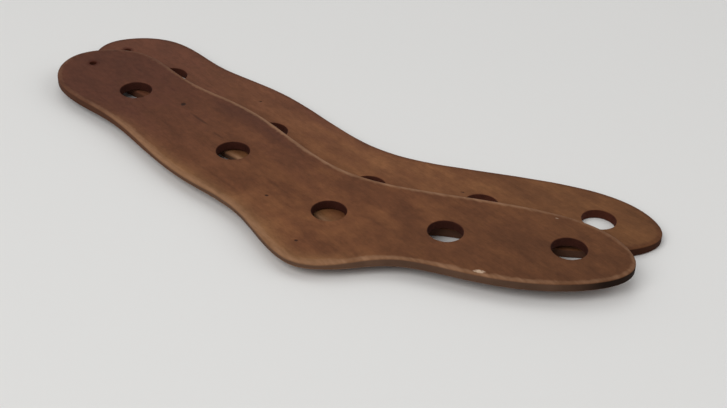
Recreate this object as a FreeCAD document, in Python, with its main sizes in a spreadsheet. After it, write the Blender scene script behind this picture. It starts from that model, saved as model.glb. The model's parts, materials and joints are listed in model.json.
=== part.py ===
# A pair of wooden sock forms: two flat boards, each sawn to the outline of a long sock,
# one lying on the other. A washed sock is pulled over each board and dries in shape, with
# air reaching it through the row of vents. A small hole near the cuff end takes a hook.
#
# Both boards come from one template. On it the ankle vent is the origin, the foot runs
# along +X and the leg rises at leg_angle. On the table the lower board lies flat, and the
# upper one lies across it with a slight lean, so the heel side is low and the toe is high.
# The pair's origin is the middle of its footprint, on the table, with +Z up. Sizes in mm.
import FreeCAD
import Part
import Sketcher
import math
import os

SIZES = (
    # alias, value, note
    ("board_thickness", 6.5, "quarter-inch stock"),
    ("edge_round", 2.0, "radius worn onto both rims of the outline"),
    ("vent_diameter", 22.0, "seven-eighths of an inch"),
    ("vent_edge_round", 0.5, "radius on both rims of each vent"),
    ("hanging_hole_diameter", 5.0, "for a hook or a loop of string"),
    ("leg_angle", 147.0, "from the foot's line to the leg's line, degrees"),
    # The outline is one smooth curve, pulled by control points in pairs across the leg and
    # the foot. Each pair has a distance from the ankle vent, and a reach to either side.
    ("leg_reach", 282.5, "from the ankle vent to the cuff's control point"),
    ("ankle_at", 40.0, "distance up the leg"),
    ("ankle_front", 35.0, "reach to the instep side"),
    ("ankle_back", 35.0, "reach to the heel side"),
    ("low_calf_at", 88.0, "distance up the leg"),
    ("low_calf_front", 41.0, "reach to the instep side"),
    ("low_calf_back", 44.5, "reach to the heel side"),
    ("high_calf_at", 136.0, "distance up the leg"),
    ("high_calf_front", 45.0, "reach to the instep side"),
    ("high_calf_back", 40.0, "reach to the heel side"),
    ("neck_at", 187.0, "distance up the leg to the narrow below the cuff"),
    ("neck_front", 31.5, "reach to the instep side"),
    ("neck_back", 31.0, "reach to the heel side"),
    ("cuff_setback", 37.5, "from the cuff's control point back to its corners"),
    ("cuff_front", 46.5, "reach to the instep side"),
    ("cuff_back", 43.0, "reach to the heel side"),
    ("cuff_drop", 2.5, "the cuff's control point, to the heel side"),
    ("foot_reach", 197.0, "from the ankle vent to the toe's control point"),
    ("instep_at", 19.5, "distance along the foot"),
    ("instep_top", 39.0, "reach to the instep side"),
    ("arch_at", 62.0, "distance along the foot"),
    ("arch_top", 38.0, "reach to the instep side"),
    ("arch_sole", 35.5, "reach to the sole side"),
    ("ball_at", 115.0, "distance along the foot"),
    ("ball_top", 39.0, "reach to the instep side"),
    ("ball_sole", 44.0, "reach to the sole side"),
    ("toe_setback", 29.0, "from the toe's control point back to its corners"),
    ("toe_top", 30.5, "reach to the instep side"),
    ("toe_sole", 32.5, "reach to the sole side"),
    ("toe_drop", 7.0, "the toe's control point, to the sole side"),
    ("heel_back", 12.0, "the heel's control point, behind the ankle vent"),
    ("heel_drop", 69.0, "the heel's control point, below the ankle vent"),
    ("heel_front", 38.0, "where the heel runs into the arch, ahead of the vent"),
    ("heel_front_drop", 38.5, "the same point, below the ankle vent"),
    # Vents stand on the leg's line and the foot's line, and two of them follow the ends.
    ("calf_vent_at", 92.5, "distance up the leg"),
    ("cuff_vent_setback", 83.5, "from the cuff's control point"),
    ("hanging_hole_setback", 31.5, "from the cuff's control point"),
    ("arch_vent_at", 73.0, "distance along the foot"),
    ("arch_vent_drop", 2.0, "to the sole side of the foot's line"),
    ("toe_vent_setback", 49.5, "from the toe's control point"),
    # How the upper board lies on the lower one.
    ("upper_shift_x", -16.5, "ankle vent to ankle vent, along the foot"),
    ("upper_shift_y", -47.0, "ankle vent to ankle vent, across the foot"),
    ("upper_turn", -2.0, "turned about the vertical, degrees"),
    ("upper_lean", 2.0, "raised on the instep side of its leg, degrees"),
    ("resting_gap", 0.3, "smallest gap between the boards where one bears on the other"),
)

CLOSE_ENOUGH = 0.005


def make_sheet(doc):
    """The sheet of driving dimensions, one alias to a row."""
    sheet = doc.addObject("Spreadsheet::Sheet", "Sizes")
    for row, (alias, value, note) in enumerate(SIZES, start=1):
        sheet.set("A%d" % row, alias)
        sheet.set("B%d" % row, str(value))
        sheet.set("C%d" % row, note)
        sheet.setAlias("B%d" % row, alias)
    doc.recompute()
    return sheet


def on_leg(distance, reach):
    """X and Y expressions of a point up the leg, with its reach to the instep side."""
    x = "(%s) * cos(Sizes.leg_angle) + (%s) * sin(Sizes.leg_angle)" % (distance, reach)
    y = "(%s) * sin(Sizes.leg_angle) - (%s) * cos(Sizes.leg_angle)" % (distance, reach)
    return x, y


CUFF_CORNER = "Sizes.leg_reach - Sizes.cuff_setback"
TOE_CORNER = "Sizes.foot_reach - Sizes.toe_setback"

# Control points of the outline, from the toe back along the instep, up the front of the
# leg, round the cuff, down the back of the leg, round the heel and along the sole.
OUTLINE = (
    ("Sizes.foot_reach", "-Sizes.toe_drop"),
    (TOE_CORNER, "Sizes.toe_top"),
    ("Sizes.ball_at", "Sizes.ball_top"),
    ("Sizes.arch_at", "Sizes.arch_top"),
    ("Sizes.instep_at", "Sizes.instep_top"),
    on_leg("Sizes.ankle_at", "Sizes.ankle_front"),
    on_leg("Sizes.low_calf_at", "Sizes.low_calf_front"),
    on_leg("Sizes.high_calf_at", "Sizes.high_calf_front"),
    on_leg("Sizes.neck_at", "Sizes.neck_front"),
    on_leg(CUFF_CORNER, "Sizes.cuff_front"),
    on_leg("Sizes.leg_reach", "-Sizes.cuff_drop"),
    on_leg(CUFF_CORNER, "-Sizes.cuff_back"),
    on_leg("Sizes.neck_at", "-Sizes.neck_back"),
    on_leg("Sizes.high_calf_at", "-Sizes.high_calf_back"),
    on_leg("Sizes.low_calf_at", "-Sizes.low_calf_back"),
    on_leg("Sizes.ankle_at", "-Sizes.ankle_back"),
    ("-Sizes.heel_back", "-Sizes.heel_drop"),
    ("Sizes.heel_front", "-Sizes.heel_front_drop"),
    ("Sizes.arch_at", "-Sizes.arch_sole"),
    ("Sizes.ball_at", "-Sizes.ball_sole"),
    (TOE_CORNER, "-Sizes.toe_sole"),
)

VENTS = (
    on_leg("Sizes.leg_reach - Sizes.cuff_vent_setback", "0"),
    on_leg("Sizes.calf_vent_at", "0"),
    ("0", "0"),
    ("Sizes.arch_vent_at", "-Sizes.arch_vent_drop"),
    ("Sizes.foot_reach - Sizes.toe_vent_setback", "0"),
)

HANGING_HOLE = on_leg("Sizes.leg_reach - Sizes.hanging_hole_setback", "0")


def sketch_on_base(body, name):
    """A sketch on the body's own horizontal plane."""
    sketch = body.newObject("Sketcher::SketchObject", name)
    planes = [item for item in body.Origin.OriginFeatures if item.Role == "XY_Plane"]
    sketch.AttachmentSupport = [(planes[0], "")]
    sketch.MapMode = "FlatFace"
    return sketch


def place_of(sketch, expressions):
    """The point that a pair of sheet expressions gives at present."""
    x, y = (float(sketch.evalExpression(text)) for text in expressions)
    return FreeCAD.Vector(x, y, 0)


def name_constraint(sketch, constraint, name, expression):
    """Add a constraint under a name, and bind its value to the sheet."""
    index = sketch.addConstraint(constraint)
    sketch.renameConstraint(index, name)
    sketch.setExpression("Constraints." + name, expression)


def tie_centre(sketch, circle, expressions, name):
    """Tie a circle's centre to a pair of sheet expressions."""
    place = place_of(sketch, expressions)
    for axis, value, expression in zip("XY", (place.x, place.y), expressions):
        tie = Sketcher.Constraint("Distance" + axis, -1, 1, circle, 3, value)
        name_constraint(sketch, tie, "%s_%s" % (name, axis.lower()), expression)


def draw_outline(body):
    """The sock outline: a closed cubic spline whose control points follow the sheet."""
    sketch = sketch_on_base(body, "Outline")
    points = [place_of(sketch, expressions) for expressions in OUTLINE]
    count = len(points)
    curve = Part.BSplineCurve()
    curve.buildFromPolesMultsKnots(points, [1] * (count + 1), list(range(count + 1)), True, 3)
    spline = sketch.addGeometry(curve, False)
    handles = []
    for index, point in enumerate(points):
        handle = sketch.addGeometry(Part.Circle(point, FreeCAD.Vector(0, 0, 1), 1.0), True)
        role = "InternalAlignment:Sketcher::BSplineControlPoint"
        sketch.addConstraint(Sketcher.Constraint(role, handle, 3, spline, index))
        handles.append(handle)
    sketch.addConstraint(Sketcher.Constraint("Weight", handles[0], 1.0))
    for handle in handles[1:]:
        sketch.addConstraint(Sketcher.Constraint("Equal", handles[0], handle))
    for number, (handle, expressions) in enumerate(zip(handles, OUTLINE), start=1):
        tie_centre(sketch, handle, expressions, "control_%d" % number)
    return sketch


def draw_holes(body, name, places, diameter):
    """A sketch of round holes of one diameter."""
    sketch = sketch_on_base(body, name)
    for number, expressions in enumerate(places, start=1):
        place = place_of(sketch, expressions)
        circle = Part.Circle(place, FreeCAD.Vector(0, 0, 1), 1.0)
        hole = sketch.addGeometry(circle, False)
        tie_centre(sketch, hole, expressions, "hole_%d" % number)
        size = Sketcher.Constraint("Diameter", hole, float(sketch.evalExpression(diameter)))
        name_constraint(sketch, size, "hole_%d_diameter" % number, diameter)
    return sketch


def cut_holes(body, name, places, diameter):
    """Drill round holes right through, and check that nothing is left inside them."""
    sketch = draw_holes(body, name + "Sketch", places, diameter)
    pocket = body.newObject("PartDesign::Pocket", name)
    pocket.Profile = sketch
    pocket.Type = "ThroughAll"
    pocket.Reversed = True
    body.Document.recompute()
    gauge_radius = 0.49 * float(sketch.evalExpression(diameter))
    thickness = float(sketch.evalExpression("Sizes.board_thickness"))
    for expressions in places:
        gauge = Part.makeCylinder(gauge_radius, thickness, place_of(sketch, expressions))
        left = pocket.Shape.common(gauge).Volume
        if left > 0.001 * gauge.Volume:
            raise RuntimeError("%s left %.1f mm3 in a hole" % (name, left))


def round_edges(body, name, radius, wanted):
    """Round the edges of the newest feature that pass a test."""
    base = body.Tip
    edges = ["Edge%d" % (number + 1) for number, edge in enumerate(base.Shape.Edges) if wanted(edge)]
    fillet = body.newObject("PartDesign::Fillet", name)
    fillet.Base = (base, edges)
    fillet.setExpression("Radius", radius)
    body.Document.recompute()


def is_level(edge):
    """An edge that lies in one horizontal plane."""
    return edge.BoundBox.ZLength < 0.001


def make_board(doc, label):
    """One sock form on the template: a sawn board, worn rims, vents and a hanging hole."""
    body = doc.addObject("PartDesign::Body", label)
    body.Label = label
    pad = body.newObject("PartDesign::Pad", "Board")
    pad.Profile = draw_outline(body)
    pad.setExpression("Length", "Sizes.board_thickness")
    doc.recompute()
    round_edges(body, "WornRims", "Sizes.edge_round", is_level)
    cut_holes(body, "Vents", VENTS, "Sizes.vent_diameter")

    def is_vent_rim(edge):
        return isinstance(edge.Curve, Part.Circle) and is_level(edge)

    round_edges(body, "VentRims", "Sizes.vent_edge_round", is_vent_rim)
    cut_holes(body, "HangingHole", [HANGING_HOLE], "Sizes.hanging_hole_diameter")
    return body


def lean_placement(sheet):
    """Where the upper board lies in plan, how it is turned, and how it leans.

    It leans about its own leg's line, which runs from cuff to ankle, so a positive angle
    raises the instep side.
    """
    leg = math.radians(sheet.leg_angle)
    cuff_to_ankle = FreeCAD.Vector(-math.cos(leg), -math.sin(leg), 0)
    lean = FreeCAD.Rotation(cuff_to_ankle, sheet.upper_lean)
    turn = FreeCAD.Rotation(FreeCAD.Vector(0, 0, 1), sheet.upper_turn)
    shift = FreeCAD.Vector(sheet.upper_shift_x, sheet.upper_shift_y, 0)
    return FreeCAD.Placement(shift, turn * lean)


def move(body, x, y, z):
    """Shift a board along the axes."""
    shift = FreeCAD.Placement(FreeCAD.Vector(x, y, z), FreeCAD.Rotation())
    body.Placement = shift * body.Placement


def set_down(top, base, gap):
    """Lower a leaning board onto a flat one until only the gap is left between them.

    The boards meet along an edge, at a height that depends on the outline, so the height
    is found from the solids. The distance is never more than the drop, so no step overshoots.
    """
    spare = base.Shape.BoundBox.ZMax - top.Shape.BoundBox.ZMin + gap
    move(top, 0, 0, spare)
    while abs(spare) > CLOSE_ENOUGH:
        spare = top.Shape.distToShape(base.Shape)[0] - gap
        move(top, 0, 0, -spare)


def centre_pair(bodies):
    """Put the origin at the middle of the pair's footprint, on the table."""
    box = FreeCAD.BoundBox()
    for body in bodies:
        box.add(body.Shape.optimalBoundingBox(False))
    for body in bodies:
        move(body, -box.Center.x, -box.Center.y, -box.ZMin)


def check(doc, bodies):
    """Stop on any failed object, bad shape, overlap or board below the table."""
    for item in doc.Objects:
        if "Invalid" in item.State or "Error" in item.State:
            raise RuntimeError("%s failed: %s" % (item.Label, item.State))
    for body in bodies:
        if body.Shape.isNull() or not body.Shape.isValid() or len(body.Shape.Solids) != 1:
            raise RuntimeError("%s is not one valid solid" % body.Label)
        if body.Shape.BoundBox.ZMin < -0.01:
            raise RuntimeError("%s reaches below the table" % body.Label)
    lower, upper = bodies
    if lower.Shape.common(upper.Shape).Volume > 0:
        raise RuntimeError("the boards overlap")


def main():
    doc = FreeCAD.newDocument("SockForms")
    sheet = make_sheet(doc)
    lower = make_board(doc, "lower_sock_form")
    upper = make_board(doc, "upper_sock_form")
    upper.Placement = lean_placement(sheet)
    doc.recompute()
    set_down(upper, lower, sheet.resting_gap)
    centre_pair([lower, upper])
    doc.recompute()
    check(doc, [lower, upper])
    os.makedirs("parts", exist_ok=True)
    for body in (lower, upper):
        body.Shape.exportStep("parts/%s.step" % body.Label)
        box = body.Shape.optimalBoundingBox(False)
        print("%s: %.1f cm3, x %.1f to %.1f, y %.1f to %.1f, z %.2f to %.2f mm" % (
            body.Label, body.Shape.Volume / 1000,
            box.XMin, box.XMax, box.YMin, box.YMax, box.ZMin, box.ZMax))
    gap = upper.Shape.distToShape(lower.Shape)[0]
    print("gap between the boards: %.3f mm" % gap)


main()
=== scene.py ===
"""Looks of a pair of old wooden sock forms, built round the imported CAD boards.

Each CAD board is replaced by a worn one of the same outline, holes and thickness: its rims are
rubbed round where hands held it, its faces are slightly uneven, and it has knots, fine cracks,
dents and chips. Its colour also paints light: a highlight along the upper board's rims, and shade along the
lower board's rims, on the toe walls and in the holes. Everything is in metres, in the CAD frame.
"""
import json
import math

import bpy
import numpy as np
from mathutils import Matrix, Vector
from mathutils.geometry import delaunay_2d_cdt


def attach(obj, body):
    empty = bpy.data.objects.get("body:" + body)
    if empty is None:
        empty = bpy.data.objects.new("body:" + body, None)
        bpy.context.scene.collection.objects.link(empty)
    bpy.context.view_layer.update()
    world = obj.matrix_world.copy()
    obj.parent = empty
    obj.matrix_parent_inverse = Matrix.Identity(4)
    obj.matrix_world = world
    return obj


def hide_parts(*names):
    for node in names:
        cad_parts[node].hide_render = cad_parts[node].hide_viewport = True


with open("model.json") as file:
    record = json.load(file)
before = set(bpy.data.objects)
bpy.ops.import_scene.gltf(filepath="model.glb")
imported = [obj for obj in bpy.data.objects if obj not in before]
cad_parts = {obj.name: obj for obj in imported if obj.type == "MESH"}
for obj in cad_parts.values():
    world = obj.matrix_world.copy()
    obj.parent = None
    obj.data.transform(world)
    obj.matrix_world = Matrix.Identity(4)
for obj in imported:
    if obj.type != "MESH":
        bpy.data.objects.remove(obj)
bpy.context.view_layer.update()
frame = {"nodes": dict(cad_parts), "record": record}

MM = 0.001
VENT_NAMES = ("cuff", "calf", "ankle", "arch", "toe")

# How finely a board is meshed
NEAREST_CORNERS = 0.2 * MM      # outline points nearer than this count as one
SAME_LEVEL = 0.02 * MM          # corners this close in height are on one level
SPLINE_STEPS = 24               # between two outline points, before they are spaced evenly
OUTLINE_STEP = 1.4 * MM
FACE_STEP = 2.0 * MM
FACE_JITTER = 0.2               # of a step
FACE_SEED = 7
MARK_STEP = 0.5 * MM            # round the knots and chips
RIM_CLEARANCE = 0.55            # of a step, kept free beside a rim
GRID_BLOCKS = 24                # batches in which distances to the rims are worked out
SAME_POINT = 1e-9
VENT_POINTS = 84
HANGING_HOLE_POINTS = 36
ROUND_STEPS = 7
LEDGE = 0.3 * MM                # flat ring between a rounded rim and the rest of the face
WALL_STEPS = 4

# How far the wear goes
SANDED_OFF = 0.03 * MM          # everywhere, so that the worn board stays inside the sawn one
CRISP_ROUND = (1.6 * MM, 1.2 * MM)      # run across the face, drop down the wall
RUBBED_ROUND = (3.2 * MM, 2.6 * MM)
VENT_ROUND = (0.8 * MM, 0.7 * MM)
HANGING_HOLE_ROUND = (0.5 * MM, 0.5 * MM)
RUB_AND_HIGHLIGHT_SPREAD = 1.1 * MM           # how far the rubbed colour runs on to a face; part of it is a painted highlight that widens the light line along the rims
HANDLED_SPREAD = 5.5 * MM       # how far the wood is paler beside a rubbed rim
GRIME_AND_SHADE_SPREAD = 0.7 * MM         # how far dirt and painted shade run from a rim
HANDLED_DIP = 0.35 * MM         # how far a face falls towards a rubbed rim
VENT_RUB = 0.12                 # how bare a vent rim is, where 1 is bare wood
VENT_GRIME = 0.06               # how dirty it is, where 1 is all dirt
HANGING_HOLE_GRIME = 1.0
CUFF_GRIME = 0.35
WALL_RUB = 0.1                  # how bare the walls are, as a share of their rims
CUFF_CRISP = 0.55               # how much less bare the rims are at the cuff, with a weaker painted highlight and round the toe
TOE_CRISP = 0.45                # and round the toe
HANDLED_FADE = 0.85             # how much of the rubbing is gone at the cuff
NIBBLE = 0.35                   # how unevenly the holes' rims are rounded, as a share of the round
NIBBLE_LENGTH = 9 * MM
LEAST_NIBBLE = 0.5
FIRST_HOLE_SEED = 20
FACE_UNEVENNESS = 0.12 * MM
WALL_UNEVENNESS = 0.08 * MM
DENTS = 46                      # on each face
DENT_SIZES = (0.8, 2.6)         # least and most, in millimetres
DENT_DEPTHS = (0.05, 0.22)

# Where the wear begins and is full: up the leg, behind the leg and along the foot from the ankle vent
HEEL = (-62 * MM, -28 * MM)
BEHIND_LEG = (6 * MM, 26 * MM)
HANDLED_END = (80 * MM, 215 * MM)
CUFF_END = (150 * MM, 235 * MM)
TOE_END = (100 * MM, 150 * MM)

# The grain follows the leg, turned a little towards the foot
GRAIN_TURN = math.radians(-4.0)


# ---------------------------------------------------------------- reading a CAD board

def in_turn(points):
    """The points of a closed outline, each followed by its nearest neighbour."""
    points = np.unique(np.round(points, 7), axis=0)
    order, left = [0], set(range(1, len(points)))
    while left:
        others = np.array(sorted(left))
        gap = np.linalg.norm(points[others] - points[order[-1]], axis=1)
        order.append(int(others[gap.argmin()]))
        left.discard(order[-1])
    ring = points[order]
    spaced = np.linalg.norm(ring - np.roll(ring, 1, 0), axis=1) > NEAREST_CORNERS
    return ring[spaced]


class Board:
    """A CAD board in its own frame: ankle vent at the origin, foot along +X, z = 0 half way down."""

    def __init__(self, side):
        record = frame["record"]
        hole = next(m for m in record["mounts"] if m["name"] == side + "_hanging_hole")
        up, hanging = Vector(hole["axis"]).normalized(), Vector(hole["pos_m"])
        boxes = {o["name"]: o["box_m"] for o in record["physics"]["openings"]}
        vents = {name: self.vent_centre(boxes["%s_%s_vent" % (side, name)], up, hanging)
                 for name in VENT_NAMES}
        along = (vents["toe"] - vents["ankle"]).normalized()
        self.place = Matrix((along, up.cross(along), up)).transposed().to_4x4()
        self.place.translation = vents["ankle"]
        home = self.place.inverted()
        corners = np.array([home @ v.co for v in frame["nodes"][side + "_sock_form"].data.vertices])
        heights = corners[:, 2]
        self.half = heights.max()
        self.vents = [np.array((home @ vents[name])[:2]) for name in VENT_NAMES]
        self.vent_radius = np.linalg.norm(corners[:, :2], axis=1).min()
        self.hanging = np.array((home @ hanging)[:2])
        self.hanging_radius = hole["dims"]["r_mm"] * MM
        wall_top = heights[heights > 0].min()
        self.outline = in_turn(corners[abs(heights - wall_top) < SAME_LEVEL, :2])
        calf, ankle = self.vents[1], self.vents[2]
        self.leg = (calf - ankle) / np.linalg.norm(calf - ankle)

    @staticmethod
    def vent_centre(box, up, on_plane):
        """The vent's middle, half way through the board: the record's box gives it in plan."""
        x, y = ((low + high) / 2 for low, high in zip(box[0][:2], box[1][:2]))
        z = on_plane.z - (up.x * (x - on_plane.x) + up.y * (y - on_plane.y)) / up.z
        return Vector((x, y, z))


# ---------------------------------------------------------------- curves and soft randomness

def smooth_loop(points, step):
    """Evenly spaced points and outward normals on a closed cubic spline through the points."""
    x, y = points[:, 0], points[:, 1]
    if np.sum(x * np.roll(y, -1) - np.roll(x, -1) * y) < 0:
        points = points[::-1]
    count = len(points)
    chord = np.linalg.norm(np.roll(points, -1, 0) - points, axis=1)
    before = np.roll(chord, 1)
    system = np.zeros((count, count))
    index = np.arange(count)
    system[index, index] = 2 * (before + chord)
    system[index, index - 1] = before
    system[index, (index + 1) % count] = chord
    slope = (np.roll(points, -1, 0) - points) / chord[:, None]
    bend = np.linalg.solve(system, 6 * (slope - np.roll(slope, 1, 0)))
    dense = []
    for i in range(count):
        h, j = chord[i], (i + 1) % count
        t = np.linspace(0, 1, SPLINE_STEPS, endpoint=False)[:, None]
        dense.append(points[i] * (1 - t) + points[j] * t + h * h / 6 * (
            bend[i] * ((1 - t) ** 3 - (1 - t)) + bend[j] * (t ** 3 - t)))
    dense = np.vstack(dense)
    ring = np.vstack([dense, dense[:1]])
    travelled = np.r_[0, np.cumsum(np.linalg.norm(np.diff(ring, axis=0), axis=1))]
    stops = np.linspace(0, travelled[-1], int(travelled[-1] / step), endpoint=False)
    even = np.c_[np.interp(stops, travelled, ring[:, 0]), np.interp(stops, travelled, ring[:, 1])]
    tangent = np.roll(even, -1, 0) - np.roll(even, 1, 0)
    normal = np.c_[tangent[:, 1], -tangent[:, 0]]
    return even, normal / np.linalg.norm(normal, axis=1)[:, None]


def circle_loop(centre, radius, count):
    """Points clockwise round a hole, and normals that point out of the wood, into the hole."""
    turn = np.linspace(2 * math.pi, 0, count, endpoint=False)
    out = np.c_[np.cos(turn), np.sin(turn)]
    return np.array(centre) + radius * out, -out


def ripple(points, wavelength, seed, waves=14):
    """A smooth random field over the points, from -1 to 1 or so, the same on every run."""
    source = np.random.default_rng(seed)
    total = np.zeros(len(points))
    for _ in range(waves):
        heading = source.uniform(0, 2 * math.pi)
        length = wavelength * source.uniform(0.7, 1.6)
        wave = np.array([math.cos(heading), math.sin(heading)]) * 2 * math.pi / length
        total += np.sin(points @ wave + source.uniform(0, 2 * math.pi))
    return total / math.sqrt(waves)


def ramp(value, low, high):
    """0 below low, 1 above high, and smooth between."""
    t = np.clip((value - low) / (high - low), 0, 1)
    return t * t * (3 - 2 * t)


def inside(points, loop):
    """Which points lie inside a closed loop."""
    x, y = points[:, :1], points[:, 1:2]
    ax, ay = loop[:, 0], loop[:, 1]
    bx, by = np.roll(ax, -1), np.roll(ay, -1)
    crosses = (ay > y) != (by > y)
    at = ax + (y - ay) * (bx - ax) / np.where(by == ay, 1e-12, by - ay)
    return ((crosses & (x < at)).sum(1) % 2).astype(bool)


def in_the_wood(points, loops):
    """Which points lie inside the first loop, the outline, and outside the others, the holes."""
    wood_here = inside(points, loops[0])
    for loop in loops[1:]:
        wood_here &= ~inside(points, loop)
    return wood_here


# ---------------------------------------------------------------- the worn board

class Mark:
    """A knot, chip, fine crack or dent: an oval hollow at a place in the board's own frame.

    Place, size and depth are in millimetres. A crack is a long, narrow knot that shows faintly.
    """

    def __init__(self, place, size, depth, kind, turn=0.0, shows=1.0):
        self.place = np.array(place) * MM
        self.size = np.array(size) * MM
        self.depth = depth * MM
        self.kind = kind
        self.turn = math.radians(turn)
        self.shows = shows

    def reach(self, points):
        """1 at the mark's middle, falling to 0 at its border."""
        c, s = math.cos(self.turn), math.sin(self.turn)
        local = (points - self.place) @ np.array([[c, -s], [s, c]]) / self.size
        return 1 - ramp(np.linalg.norm(local, axis=1), 0.35, 1.0)


def scattered_dents(board, seed):
    """Small dents from years of handling, here and there over a face."""
    source = np.random.default_rng(seed)
    low, high = board.outline.min(0) / MM, board.outline.max(0) / MM
    dents = []
    for _ in range(DENTS):
        place = source.uniform(low, high)
        size = source.uniform(*DENT_SIZES, 2)
        dents.append(Mark(place, size, source.uniform(*DENT_DEPTHS), "dent", source.uniform(0, 180)))
    return dents


class Worn:
    """Collects the worn board's vertices, with what the material has to know about each."""

    def __init__(self):
        self.points, self.faces = [], []
        self.values = {name: [] for name in ("rub", "handled", "wall", "bore", "grime")}

    def add(self, points, **values):
        """Adds vertices and returns their numbers. A value that isn't given is 0."""
        first = sum(len(p) for p in self.points)
        count = len(points)
        self.points.append(points)
        for name, store in self.values.items():
            store.append(np.broadcast_to(np.asarray(values.get(name, 0.0), float), (count,)))
        return np.arange(first, first + count)

    def all(self, name):
        """One value of every vertex, in order."""
        return np.concatenate(self.values[name])

    def join(self, above, below):
        """A band of faces between two rings of vertices."""
        following = np.roll(np.arange(len(above)), -1)
        for i, j in enumerate(following):
            self.faces.append((int(above[i]), int(below[i]), int(below[j]), int(above[j])))


def edge_rings(worn, loop, normal, half, run, drop, rub, handled=0.0, bore=0.0, grime=0.0):
    """A wall from the top face to the bottom one, with its two rims rounded. Returns the end rings."""
    same = dict(handled=handled, bore=bore, grime=grime)
    angles = np.linspace(0, math.pi / 2, ROUND_STEPS)
    # each ring of a rounded rim: share of the run inwards, more inwards, share of the drop, how level it is
    profile = [(1.0, LEDGE, 0.0, 1.0)]
    profile += [(1 - math.sin(a), 0.0, 1 - math.cos(a), math.cos(a)) for a in angles]
    rims = []
    for side in (1, -1):
        rim = []
        for inset, ledge, fall, level in profile:
            flat = loop - normal * (run * inset + ledge)[:, None]
            height = side * (half - drop * fall)
            # on crisp rims nearly the whole rounding takes the rubbed colour, which paints a highlight line
            # along the rim as well as showing wear
            inner = 0.9 - 0.5 * handled
            ring_rub_and_highlight = rub * (inner + (1 - inner) * ramp(1 - inset, 0, 0.75)) * (0.4 + 0.6 * level)
            rim.append(worn.add(np.c_[flat, height], rub=ring_rub_and_highlight, wall=1 - level, **same))
        rims.append(rim)
    top, bottom = rims
    walls = []
    for share in np.linspace(0, 1, WALL_STEPS + 1)[1:-1]:
        height = (half - drop) * (1 - 2 * share)
        walls.append(worn.add(np.c_[loop, height], rub=rub * WALL_RUB, wall=1.0, **same))
    order = top + walls + bottom[::-1]
    for above, below in zip(order, order[1:]):
        worn.join(above, below)
    return top[0], bottom[0]


def face_grid(loops, marks):
    """Points over a face with the gap round each: evenly spread, and finer round the marks."""
    low, high = loops[0].min(0), loops[0].max(0)
    source = np.random.default_rng(FACE_SEED)
    grid = np.array([(x, y) for x in np.arange(low[0], high[0], FACE_STEP)
                     for y in np.arange(low[1], high[1], FACE_STEP)])
    grid += source.uniform(-FACE_JITTER, FACE_JITTER, grid.shape) * FACE_STEP
    steps = np.full(len(grid), FACE_STEP)
    for mark in marks:
        widest = mark.size.max()
        reach = np.arange(-widest, widest, MARK_STEP)
        fine = np.array([(x, y) for x in reach for y in reach])
        fine = mark.place + fine[np.linalg.norm(fine, axis=1) < widest]
        outside = np.linalg.norm(grid - mark.place, axis=1) > widest + MARK_STEP
        grid = np.vstack([grid[outside], fine])
        steps = np.r_[steps[outside], np.full(len(fine), MARK_STEP)]
    wood_here = in_the_wood(grid, loops)
    return grid[wood_here], steps[wood_here]


def fill_face(worn, board, outer, holes, side, marks):
    """Closes the top or bottom face between the outer ring and the holes' rings."""
    points = np.vstack(worn.points)
    border = np.concatenate([outer] + holes)
    loops = [points[ring][:, :2] for ring in [outer] + holes]
    rim = np.vstack(loops)
    grid, steps = face_grid(loops, marks)
    gap, nearest, sideways = np.zeros(len(grid)), np.zeros(len(grid), int), np.zeros(len(grid))
    for block in np.array_split(np.arange(len(grid)), GRID_BLOCKS):
        away = np.linalg.norm(grid[block, None] - rim[None], axis=2)
        gap[block], nearest[block] = away.min(1), border[away.argmin(1)]
        shares = np.exp(-away[:, :len(outer)] / HANDLED_SPREAD) * worn.all("handled")[outer]
        sideways[block] = shares.max(1)
    clear = gap > RIM_CLEARANCE * steps
    grid, gap, nearest = grid[clear], gap[clear], nearest[clear]
    # the face beside a rim takes the rim's rubbed colour and painted highlight, and its dirt and painted
    # shade, fading inwards
    new = worn.add(np.c_[grid, np.full(len(grid), side * board.half)],
                   rub=worn.all("rub")[nearest] * np.exp(-gap / RUB_AND_HIGHLIGHT_SPREAD), handled=sideways[clear],
                   grime=worn.all("grime")[nearest] * np.exp(-gap / GRIME_AND_SHADE_SPREAD))
    numbers = np.concatenate([border, new])
    flat = np.vstack(loops + [grid])
    edges, first = [], 0
    for loop in loops:
        count = len(loop)
        edges += [(first + i, first + (i + 1) % count) for i in range(count)]
        first += count
    spots = [Vector(p) for p in flat]
    placed, _, triangles, origin, _, _ = delaunay_2d_cdt(spots, edges, [], 0, SAME_POINT)
    corners = np.array([origin[i][0] for i in range(len(placed))])
    triangles = corners[np.array(triangles)]
    keep = in_the_wood(flat[triangles].mean(1), loops)
    for a, b, c in numbers[triangles[keep]]:
        worn.faces.append((int(a), int(b), int(c)) if side > 0 else (int(c), int(b), int(a)))


def between(low, high, share):
    """The value at a share of the way from low to high."""
    return low + (high - low) * share


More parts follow.
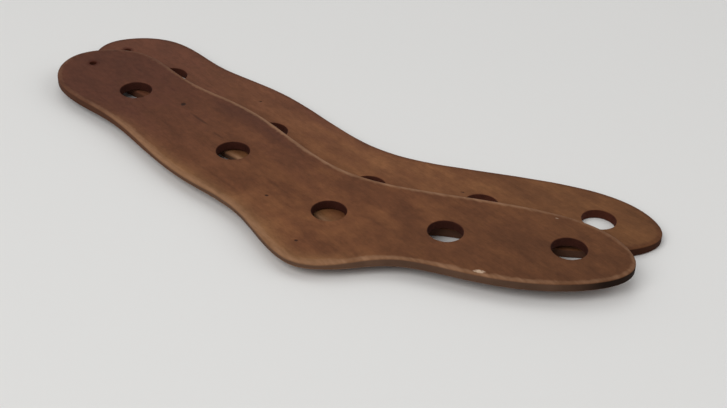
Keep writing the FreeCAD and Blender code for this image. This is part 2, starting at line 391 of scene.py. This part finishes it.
def outline_walls(worn, board, half, rim_rub_and_highlight, rim_shade, seed):
    """The wall round the outline, rubbed where hands held it. Its rims also get a painted highlight, and on
    the lower board painted shade. Returns its rings on the two faces.
    """
    loop, normal = smooth_loop(board.outline, OUTLINE_STEP)
    loop = loop - normal * SANDED_OFF
    leg = np.array(board.leg)
    up_leg, behind = loop @ leg, loop @ np.array([-leg[1], leg[0]])
    cuff_end = ramp(up_leg, *CUFF_END)
    handled = ramp(up_leg, *HEEL) * ramp(behind, *BEHIND_LEG)
    handled *= 1 - HANDLED_FADE * ramp(up_leg, *HANDLED_END)
    handled = np.clip(handled + 0.1 * ripple(loop, 40 * MM, seed) * (0.2 + handled), 0, 1)
    run = between(CRISP_ROUND[0], RUBBED_ROUND[0], handled)
    run *= 1 + 0.12 * ripple(loop, 22 * MM, seed + 1)
    drop = between(CRISP_ROUND[1], RUBBED_ROUND[1], handled)
    loop = loop - normal * (WALL_UNEVENNESS * np.abs(ripple(loop, 30 * MM, seed + 2)) / 2)[:, None]
    toe_end = ramp(loop[:, 0], *TOE_END)
    # bare wood where hands held it, and elsewhere a painted highlight along the rims, weaker at the cuff
    # and the toe
    rub = np.maximum(rim_rub_and_highlight * (1 - CUFF_CRISP * cuff_end - TOE_CRISP * toe_end), handled)
    # dirt at the cuff, and on the lower board a painted shade line along the rims, both kept off the
    # handled parts
    grime = np.maximum(rim_shade, CUFF_GRIME * cuff_end) * (1 - handled)
    return edge_rings(worn, loop, normal, half, run, drop, rub, handled=handled, grime=grime)


def hole_walls(worn, board, half, seed):
    """The walls of the vents and the hanging hole. Returns their rings on the top and bottom faces."""
    holes = [(vent, board.vent_radius, VENT_POINTS, VENT_ROUND, VENT_GRIME) for vent in board.vents]
    holes.append((board.hanging, board.hanging_radius, HANGING_HOLE_POINTS, HANGING_HOLE_ROUND,
                  HANGING_HOLE_GRIME))
    tops, bottoms = [], []
    for number, (centre, radius, count, (run, drop), grime) in enumerate(holes):
        ring, out = circle_loop(centre, radius, count)
        nibble = 1 + NIBBLE * ripple(ring, NIBBLE_LENGTH, seed + FIRST_HOLE_SEED + number)
        nibble = np.maximum(nibble, LEAST_NIBBLE)
        top, bottom = edge_rings(worn, ring, out, half, run * nibble, drop * np.ones(count), VENT_RUB,
                                 bore=1.0, grime=grime)
        tops.append(top)
        bottoms.append(bottom)
    return tops, bottoms


def sink_faces(points, worn, board, marks, seed):
    """Lowers the faces where they are worn, dented or marked. Returns where knots and chips show."""
    flat, upper = points[:, :2], points[:, 2] > 0
    level = 1 - worn.all("wall")
    hollow = FACE_UNEVENNESS * (0.5 + 0.5 * np.clip(ripple(flat, 55 * MM, seed + 3), -1, 1))
    hollow += HANDLED_DIP * worn.all("handled") ** 2
    shown = {"knot": np.zeros(len(points)), "chip": np.zeros(len(points))}
    for mark in marks + scattered_dents(board, seed + 4):
        reach = mark.reach(flat) * upper
        hollow += mark.depth * reach
        if mark.kind in shown:
            shown[mark.kind] = np.maximum(shown[mark.kind], reach * mark.shows)
    for dent in scattered_dents(board, seed + 5):
        hollow += dent.depth * dent.reach(flat) * ~upper
    points[:, 2] -= np.where(upper, 1, -1) * hollow * level
    return shown


def build_board(board, name, marks, rim_rub_and_highlight, rim_shade, seed):
    """The worn board as a mesh object in the CAD frame."""
    half = board.half - SANDED_OFF / 2
    worn = Worn()
    top, bottom = outline_walls(worn, board, half, rim_rub_and_highlight, rim_shade, seed)
    tops, bottoms = hole_walls(worn, board, half, seed)
    fill_face(worn, board, top, tops, 1, marks)
    fill_face(worn, board, bottom, bottoms, -1, [])
    points = np.vstack(worn.points)
    points[:, 2] = np.clip(points[:, 2], -half, half)
    shown = sink_faces(points, worn, board, marks, seed)

    mesh = bpy.data.meshes.new(name)
    place = np.array(board.place)
    world = points @ place[:3, :3].T + place[:3, 3]
    mesh.from_pydata(world.tolist(), [], worn.faces)
    layers = {title: worn.all(title) for title in worn.values}
    for title, values in dict(layers, **shown).items():
        layer = mesh.attributes.new(title, "FLOAT", "POINT")
        layer.data.foreach_set("value", values.astype(np.float32))
    spot = mesh.attributes.new("board_place", "FLOAT_VECTOR", "POINT")
    spot.data.foreach_set("vector", points.astype(np.float32).ravel())
    mesh.shade_smooth()
    mesh.validate()
    piece = bpy.data.objects.new(name, mesh)
    bpy.context.scene.collection.objects.link(piece)
    return piece


# ---------------------------------------------------------------- materials

# Soft random fields of the wood: length along the grain and width across it in millimetres,
# then the noise's detail, roughness and distortion
FIELDS = {
    "pores": (7, 0.26, 3, 0.60, 0.0),
    "streaks": (60, 6.0, 4, 0.60, 0.9),
    "figure": (105, 20, 3, 0.50, 1.1),
    "blotches": (32, 19, 3, 0.55, 0.0),
    "mottle": (6, 4.0, 4, 0.62, 0.0),
    "grit": (2.2, 1.3, 3, 0.65, 0.0),
}
# How the fields darken and lighten the faces: (value of the field, brightness) stops
FACE_SHADES = {
    "streaks": ((0.30, 0.84), (0.40, 0.96), (0.60, 1.03)),
    "pores": ((0.32, 0.86), (0.50, 1.0), (0.75, 1.03)),
    "blotches": ((0.36, 0.88), (0.64, 1.11)),
    "mottle": ((0.3, 0.87), (0.7, 1.10)),
    "grit": ((0.3, 0.91), (0.7, 1.07)),
}
# And the walls: by blotches on the sides, by mottle in the holes
WALL_SHADES = ((0.3, 0.75), (0.7, 1.2))

# Reaches in metres from the ankle vent over which the colour changes
LEG_REACH = 0.25
LEG_FRONT_REACH = 0.05
TOE_REACH = 0.17
TOE_TIP_REACH = 0.19

# how fully the dirt and the painted shade cover the wood
GRIME_AND_SHADE_COVER = 0.85
GLOSS = 0.11
BUMP_STRENGTH = 0.35
BUMP_HEIGHT = 0.12 * MM


class Nodes:
    """Short ways to add and wire shader nodes."""

    def __init__(self, material):
        material.use_nodes = True
        self.tree = material.node_tree
        self.tree.nodes.clear()

    def add(self, kind, **settings):
        node = self.tree.nodes.new(kind)
        for key, value in settings.items():
            setattr(node, key, value)
        return node

    def feed(self, socket, value):
        if isinstance(value, bpy.types.NodeSocket):
            self.tree.links.new(value, socket)
        else:
            socket.default_value = value

    def attribute(self, name, output="Fac"):
        return self.add("ShaderNodeAttribute", attribute_name=name).outputs[output]

    def math(self, operation, a, b, clamp=False):
        node = self.add("ShaderNodeMath", operation=operation, use_clamp=clamp)
        self.feed(node.inputs[0], a)
        self.feed(node.inputs[1], b)
        return node.outputs[0]

    def mapped(self, vector, scale, turn):
        node = self.add("ShaderNodeMapping", vector_type="TEXTURE")
        self.feed(node.inputs["Vector"], vector)
        node.inputs["Rotation"].default_value = (0, 0, turn)
        node.inputs["Scale"].default_value = scale
        return node.outputs[0]

    def noise(self, vector, detail, roughness, distortion):
        node = self.add("ShaderNodeTexNoise")
        self.feed(node.inputs["Vector"], vector)
        node.inputs["Scale"].default_value = 1.0
        node.inputs["Detail"].default_value = detail
        node.inputs["Roughness"].default_value = roughness
        node.inputs["Distortion"].default_value = distortion
        return node.outputs["Fac"]

    def steps(self, value, *stops):
        """A smooth ramp through (place, grey) stops."""
        node = self.add("ShaderNodeValToRGB")
        self.feed(node.inputs[0], value)
        elements = node.color_ramp.elements
        while len(elements) < len(stops):
            elements.new(0.5)
        for element, (place, grey) in zip(elements, stops):
            element.position = place
            element.color = (grey, grey, grey, 1)
        return node.outputs[0]

    def blend(self, factor, a, b, mode="MIX"):
        node = self.add("ShaderNodeMix", data_type="RGBA", blend_type=mode)
        self.feed(node.inputs[0], factor)
        for socket, value in ((node.inputs[6], a), (node.inputs[7], b)):
            self.feed(socket, value if isinstance(value, bpy.types.NodeSocket) else (*value, 1))
        return node.outputs[2]

    def shade(self, tone, field, stops):
        """The tone, darkened and lightened by a field."""
        return self.blend(1.0, tone, self.steps(field, *stops), "MULTIPLY")


def wood_fields(n, place, grain_turn):
    """The wood's soft random fields, each from 0 to 1."""
    fields = {}
    for name, (length, width, detail, roughness, distortion) in FIELDS.items():
        scale = (length * MM, width * MM, width * MM)
        fields[name] = n.noise(n.mapped(place, scale, grain_turn), detail, roughness, distortion)
    return fields


def centred(n, field, share):
    """A field's swing about its middle, as a small number to add."""
    return n.math("MULTIPLY", n.math("SUBTRACT", field, 0.5), share)


def distance_along(n, place, direction, reach):
    """How far a place is in a direction of the board, as a share of a reach."""
    dot = n.add("ShaderNodeVectorMath", operation="DOT_PRODUCT")
    n.feed(dot.inputs[0], place)
    dot.inputs[1].default_value = (direction[0] / reach, direction[1] / reach, 0)
    return dot.outputs["Value"]


def face_tone(n, place, board, palette, fields):
    """Colour of the faces: brown with warm blotches, purplish up the leg, paler where handled."""
    leg = board.leg
    tone = n.blend(n.steps(fields["figure"], (0.36, 0.0), (0.64, 1.0)), palette["deep"], palette["plain"])
    tone = n.blend(n.steps(fields["blotches"], (0.45, 0.0), (0.68, 0.75)), tone, palette["warm"])

    up_leg = distance_along(n, place, leg, LEG_REACH)
    cuff = n.math("ADD", up_leg, centred(n, fields["blotches"], 0.9))
    cuff = n.steps(cuff, (0.22, 0.0), (0.85, 1.0))
    front = distance_along(n, place, (leg[1], -leg[0]), LEG_FRONT_REACH)
    front = n.steps(n.math("ADD", front, centred(n, fields["figure"], 1.2)), (0.0, 0.0), (0.8, 0.85))
    front = n.math("MULTIPLY", front, n.steps(up_leg, (0.0, 0.0), (0.35, 1.0)))
    tone = n.blend(n.math("MAXIMUM", cuff, front), tone, palette["cuff"])
    toe = distance_along(n, place, -leg, TOE_REACH)
    toe = n.steps(toe, (0.05, 0.0), (0.35, 0.35), (1.0, palette["toe_share"]))
    tone = n.blend(toe, tone, palette["toe"])
    handled = n.math("ADD", n.attribute("handled"), centred(n, fields["blotches"], 0.5))
    tone = n.blend(n.steps(handled, (0.12, 0.0), (1.0, 0.9)), tone, palette["handled"])

    for name, stops in FACE_SHADES.items():
        tone = n.shade(tone, fields[name], stops)
    return tone


def wear_and_highlight_share(n, fields):
    """Where a rim shows bare wood and a painted highlight, with a soft ragged border."""
    ragged = n.math("ADD", n.attribute("rub"), centred(n, fields["mottle"], 0.45))
    ragged = n.math("ADD", ragged, centred(n, fields["streaks"], 0.35))
    return n.steps(ragged, (0.16, 0.0), (0.55, 0.45), (1.0, 0.9))


def wall_tone(n, place, board, palette, fields, tone):
    """Adds the walls: dirty brown, reddish at the cuff, painted shade nearly black at the toe, and in the
    holes dark red wood darkened by painted shade.
    """
    wall = n.attribute("wall")
    # the toe's end walls are darkened nearly to black: painted shade
    toe_end = n.steps(distance_along(n, place, (1, 0), TOE_TIP_REACH), (0.74, 0.0), (0.90, 1.0))
    cuff_end = n.steps(distance_along(n, place, board.leg, LEG_REACH), (0.25, 0.0), (0.60, 1.0))
    side = n.blend(cuff_end, palette["side"], palette["cuff_side"])
    side = n.shade(n.blend(toe_end, side, palette["toe_side_shade"]), fields["blotches"], WALL_SHADES)
    # blends in the wall colour: dirty brown, and at the toe painted shade
    wall_dirt_and_shade = n.steps(n.math("ADD", wall, centred(n, fields["mottle"], 0.35)), (0.50, 0.0), (0.95, 0.95))
    tone = n.blend(wall_dirt_and_shade, tone, side)
    # the holes' walls: dark red wood, darkened further as painted shade inside the holes
    bore = n.math("MULTIPLY", n.attribute("bore"), n.steps(wall, (0.1, 0.0), (0.6, 1.0)))
    return n.blend(bore, tone, n.shade(palette["bore"], fields["mottle"], WALL_SHADES))


def wood(name, palette, board, seed):
    """Old oiled wood: pores and figure along the grain, blotches, rubbed rims with a painted highlight, and
    dirty walls; painted shade darkens the lower board's rims, the toe walls and the holes.
    """
    material = bpy.data.materials.new(name)
    n = Nodes(material)
    place = n.attribute("board_place", "Vector")
    shifted = n.add("ShaderNodeVectorMath", operation="ADD")
    n.feed(shifted.inputs[0], place)
    shifted.inputs[1].default_value = (seed * 0.37, seed * 0.21, seed * 0.13)
    grain_turn = math.atan2(board.leg[1], board.leg[0]) + GRAIN_TURN
    fields = wood_fields(n, shifted.outputs[0], grain_turn)

    tone = face_tone(n, place, board, palette, fields)
    worn = wear_and_highlight_share(n, fields)
    bare = n.steps(fields["streaks"], (0.35, 0.0), (0.65, 1.0))
    # lightens the rims: bare wood where rubbed, and a painted highlight line along the upper board's rims
    tone = n.blend(worn, tone, n.blend(bare, palette["rub_and_highlight_dark"], palette["rub"]))
    tone = wall_tone(n, place, board, palette, fields, tone)
    # darkens with dirt round the holes and the cuff, and with painted shade along the lower board's rims
    tone = n.blend(n.math("MULTIPLY", n.attribute("grime"), GRIME_AND_SHADE_COVER), tone, palette["grime"])
    tone = n.blend(n.steps(n.attribute("knot"), (0.1, 0.0), (0.8, 0.9)), tone, palette["knot"])
    chipped = n.math("MULTIPLY", n.attribute("chip"), fields["grit"])
    tone = n.blend(n.steps(chipped, (0.26, 0.0), (0.50, 1.0)), tone, palette["chip"])

    shader = n.add("ShaderNodeBsdfPrincipled")
    n.feed(shader.inputs["Base Color"], tone)
    roughness = n.math("ADD", centred(n, fields["blotches"], 0.22), palette["roughness"])
    roughness = n.math("SUBTRACT", roughness, centred(n, fields["pores"], 0.25))
    roughness = n.math("SUBTRACT", roughness, n.math("MULTIPLY", worn, 0.05))
    roughness = n.math("ADD", roughness, n.math("MULTIPLY", n.attribute("wall"), 0.25), clamp=True)
    n.feed(shader.inputs["Roughness"], roughness)
    shader.inputs["Specular IOR Level"].default_value = GLOSS
    relief = n.math("MULTIPLY", fields["pores"], 0.5)
    relief = n.math("ADD", relief, n.math("MULTIPLY", fields["mottle"], 0.5))
    relief = n.math("ADD", relief, n.math("MULTIPLY", fields["streaks"], 0.6))
    bump = n.add("ShaderNodeBump")
    bump.inputs["Strength"].default_value = BUMP_STRENGTH
    bump.inputs["Distance"].default_value = BUMP_HEIGHT
    n.feed(bump.inputs["Height"], relief)
    n.feed(shader.inputs["Normal"], bump.outputs[0])
    output = n.add("ShaderNodeOutputMaterial")
    n.feed(output.inputs["Surface"], shader.outputs[0])
    return material


# ---------------------------------------------------------------- the boards

# In both palettes the rubbed rim colours also paint a highlight, the toe walls' colour is painted shade
# that makes them nearly black, the holes' colour is dark red wood darkened by painted shade, and the dirt
# colour also paints shade along the lower board's rims.
UPPER_PALETTE = {
    "deep": (0.138, 0.050, 0.021), "plain": (0.168, 0.062, 0.026), "warm": (0.190, 0.076, 0.030),
    "cuff": (0.100, 0.035, 0.020), "toe": (0.104, 0.041, 0.017), "toe_share": 0.85,
    "handled": (0.228, 0.108, 0.046), "rub": (0.320, 0.175, 0.098), "rub_and_highlight_dark": (0.230, 0.115, 0.058),
    "side": (0.100, 0.054, 0.034), "cuff_side": (0.090, 0.038, 0.020),
    "toe_side_shade": (0.009, 0.003, 0.001), "bore": (0.046, 0.013, 0.008), "grime": (0.062, 0.015, 0.007),
    "knot": (0.024, 0.010, 0.006), "chip": (0.520, 0.370, 0.260), "roughness": 0.57,
}
LOWER_PALETTE = dict(
    UPPER_PALETTE, deep=(0.172, 0.065, 0.027), plain=(0.200, 0.080, 0.034), warm=(0.222, 0.095, 0.038),
    cuff=(0.136, 0.050, 0.028), toe=(0.134, 0.056, 0.021), toe_share=0.8, handled=(0.185, 0.085, 0.033),
    toe_side_shade=(0.022, 0.008, 0.003), bore=(0.066, 0.018, 0.010))

UPPER_MARKS = [
    Mark((-128.6, 98.7), (2.4, 2.8), 0.35, "knot"),
    Mark((-112.0, 83.0), (15.0, 1.6), 0.08, "knot", -36, shows=0.42),
    Mark((-93.0, 66.0), (9.0, 1.3), 0.08, "knot", -34, shows=0.36),
    Mark((-41.5, 5.8), (1.9, 1.5), 0.25, "knot", shows=0.8),
    Mark((-11.1, -35.6), (1.8, 1.5), 0.25, "knot", shows=0.8),
    Mark((99.0, -36.8), (6.0, 2.6), 0.25, "chip", 4),
    Mark((136.8, 29.9), (2.4, 1.3), 0.20, "chip", -12, shows=0.75),
]
LOWER_MARKS = [
    Mark((60.0, 8.0), (1.2, 0.9), 0.2, "knot"),
    Mark((-95.0, 88.0), (1.4, 1.0), 0.25, "knot"),
]

# Each board's marks and palette, how bare its rims are away from the heel with a painted highlight along
# them, strong on the upper board, how much painted shade darkens its rims, and its seed
BOARDS = {
    "lower": (LOWER_MARKS, LOWER_PALETTE, 0.25, 0.45, 3),
    "upper": (UPPER_MARKS, UPPER_PALETTE, 0.90, 0.0, 11),
}
for side, (marks, palette, rim_rub_and_highlight, rim_shade, seed) in BOARDS.items():
    board = Board(side)
    piece = build_board(board, side + "_worn_board", marks, rim_rub_and_highlight, rim_shade, seed)
    piece.data.materials.append(wood(side + "_worn_wood", palette, board, seed))
    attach(piece, side + "_form")
    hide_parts(side + "_sock_form")


# ---------------------------------------------------------------- floor, light and camera

FLOOR_REACH = 4.0
FLOOR_COLOUR = (0.80, 0.795, 0.78, 1)
FLOOR_ROUGHNESS = 0.6
FLOOR_GLOSS = 0.2

# Square lights: place, what it is aimed at, size and power
LIGHTS = {
    "window": ((-1.10, -1.96, 2.18), (0, 0.1, 0), 2.1, 49.5),
    "side_fill": ((2.56, 0.40, 1.92), (0, 0.1, 0), 2.1, 19.0),
    "ceiling": ((-0.60, 1.30, 3.30), (0, 0.4, 0), 2.4, 20.0),
}
ROOM_LIGHT = 0.34

CAMERA_PLACE = (0.1386, -0.7563, 0.4622)
CAMERA_ANGLES = (8.877, 32.667, -3.862)     # heading from +Y towards -X, tilt down, roll, in degrees
CAMERA_SENSOR = 36.0                        # millimetres, as is the lens
CAMERA_LENS = 66.47
CAMERA_NEAREST = 0.01


def plain_floor():
    """A wide pale table under the boards, which isn't part of the object."""
    mesh = bpy.data.meshes.new("floor")
    reach = FLOOR_REACH
    corners = [(-reach, -reach, 0), (reach, -reach, 0), (reach, reach, 0), (-reach, reach, 0)]
    mesh.from_pydata(corners, [], [(0, 1, 2, 3)])
    floor = bpy.data.objects.new("floor", mesh)
    bpy.context.scene.collection.objects.link(floor)
    material = bpy.data.materials.new("pale_floor")
    n = Nodes(material)
    shader = n.add("ShaderNodeBsdfPrincipled")
    shader.inputs["Base Color"].default_value = FLOOR_COLOUR
    shader.inputs["Roughness"].default_value = FLOOR_ROUGHNESS
    shader.inputs["Specular IOR Level"].default_value = FLOOR_GLOSS
    output = n.add("ShaderNodeOutputMaterial")
    n.feed(output.inputs["Surface"], shader.outputs[0])
    mesh.materials.append(material)


def soft_light(name, place, target, size, power):
    """A large square light, aimed at a point."""
    data = bpy.data.lights.new(name, "AREA")
    data.shape = "SQUARE"
    data.size = size
    data.energy = power
    light = bpy.data.objects.new(name, data)
    bpy.context.scene.collection.objects.link(light)
    light.location = place
    light.rotation_euler = (Vector(target) - Vector(place)).to_track_quat("-Z", "Y").to_euler()


def room_light():
    """Even white light from all round."""
    world = bpy.data.worlds.new("room")
    bpy.context.scene.world = world
    world.use_nodes = True
    background = world.node_tree.nodes["Background"]
    background.inputs["Color"].default_value = (1.0, 1.0, 1.0, 1)
    background.inputs["Strength"].default_value = ROOM_LIGHT


def photographers_camera():
    """The camera at the photograph's viewing angle."""
    heading, tilt, roll = (math.radians(a) for a in CAMERA_ANGLES)
    flat = math.cos(tilt)
    ahead = Vector((-math.sin(heading) * flat, math.cos(heading) * flat, -math.sin(tilt)))
    level = Vector((math.cos(heading), math.sin(heading), 0))
    below = ahead.cross(level)
    right = math.cos(roll) * level + math.sin(roll) * below
    upward = right.cross(ahead)
    data = bpy.data.cameras.new("camera")
    data.sensor_width = CAMERA_SENSOR
    data.lens = CAMERA_LENS
    data.clip_start = CAMERA_NEAREST
    data.dof.use_dof = False
    camera = bpy.data.objects.new("camera", data)
    bpy.context.scene.collection.objects.link(camera)
    turn = Matrix((right, upward, -ahead)).transposed().to_4x4()
    camera.matrix_world = Matrix.Translation(CAMERA_PLACE) @ turn
    bpy.context.scene.camera = camera


plain_floor()
for light_name, settings in LIGHTS.items():
    soft_light(light_name, *settings)
room_light()
photographers_camera()
bpy.context.scene.view_settings.view_transform = "Standard"
